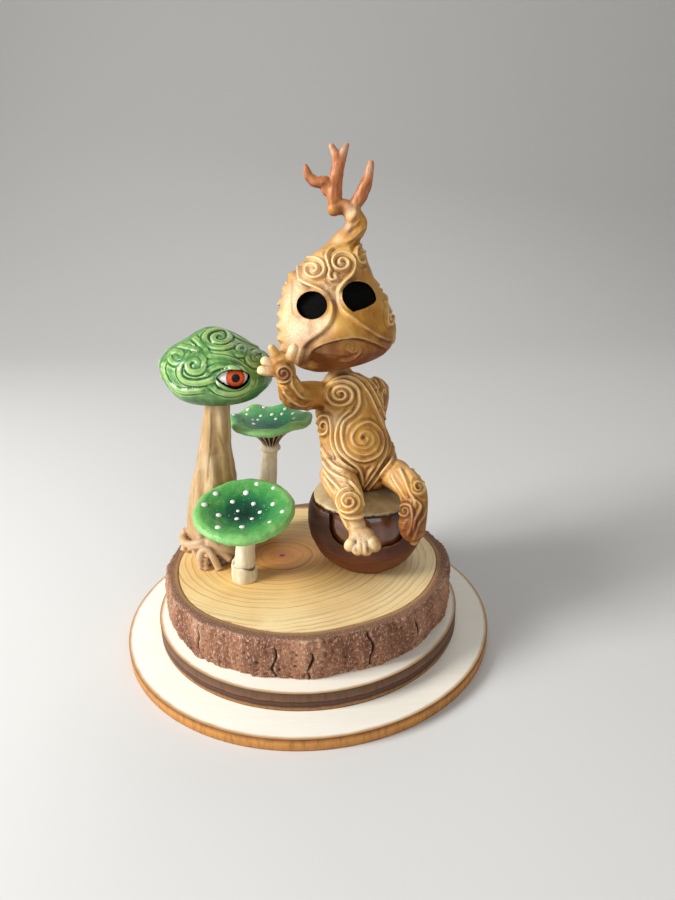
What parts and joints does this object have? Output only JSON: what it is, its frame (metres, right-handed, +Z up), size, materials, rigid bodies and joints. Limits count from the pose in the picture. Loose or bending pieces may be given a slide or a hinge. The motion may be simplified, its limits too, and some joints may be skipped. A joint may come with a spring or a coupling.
{
  "type": "tree spirit figurine",
  "caption": "Carved tree spirit seated on a big seed beside toadstools, on a log slice over round plywood discs; its antlered head turns on a neck peg.",
  "frame": {"origin": "centre of the plate's underside, where the figurine stands", "axes": "+Z up, the figure's face looks to -Y, the toadstools stand on its right, at -X"},
  "size_m": [0.12, 0.12, 0.151],
  "materials": {
    "ply_pale": "bare pale plywood with a scorched edge",
    "ply_dark": "pale plywood top with a charred, layered edge",
    "log_wood": "sanded end grain with growth rings",
    "bark": "rough bark with upright cracks",
    "cup_brown": "matt dark brown shell",
    "seed_gloss": "glossy red-brown nut",
    "crown_cream": "satin cream with brown streaks",
    "clay": "carved, stained clay with dark grooves and pale ridges",
    "antler_clay": "smooth terracotta stain",
    "eye_black": "black",
    "stem_beige": "fluted stem, stained beige-brown",
    "stem_cream": "smooth cream stem",
    "cap_green": "glazed green, darker in the grooves",
    "gills": "dark gills with pale ribs",
    "eye_white": "white eye with a painted red iris",
    "pin_steel": "steel wire",
    "peg_wood": "turned peg"
  },
  "bodies": {
    "stand": {"base_plate": "ply_pale", "riser_disc": "ply_dark", "log_slice": "log_wood", "bark_ring": "bark", "seed_cup": "cup_brown", "seed": "seed_gloss", "seed_crown": "crown_cream", "seat_pin": "pin_steel", "torso": "clay", "shoulder_pins": "pin_steel", "hip_pins": "pin_steel", "neck_peg": "peg_wood", "arm_right": "clay", "hand_right": "clay", "arm_left": "clay", "hand_left": "clay", "leg_right": "clay", "foot_right": "clay", "leg_left": "clay", "foot_left": "clay", "eye_toadstool_stem": "stem_beige", "eye_toadstool_roots": "stem_beige", "eye_toadstool_cap": "cap_green", "toadstool_eye": "eye_white", "eye_toadstool_pin": "pin_steel", "funnel_toadstool_stem": "stem_cream", "funnel_toadstool_collar": "stem_cream", "funnel_toadstool_gills": "gills", "funnel_toadstool_cap": "cap_green", "funnel_toadstool_pin": "pin_steel", "dish_toadstool_stem": "stem_cream", "dish_toadstool_volva": "stem_cream", "dish_toadstool_gills": "gills", "dish_toadstool_cap": "cap_green", "dish_toadstool_pin": "pin_steel"},
    "head": {"head": "clay", "eye_right": "eye_black", "eye_left": "eye_black", "topknot": "antler_clay", "topknot_pin": "pin_steel", "antler_right": "antler_clay", "antler_left": "antler_clay", "antler_pins": "pin_steel"}
  },
  "joints": [
    {"name": "head_turn", "type": "hinge", "parent": "stand", "child": "head", "pos_m": [0.0123, 0.005, 0.088], "axis": [0, 0, 1], "range_deg": [-40, 40]}
  ]
}
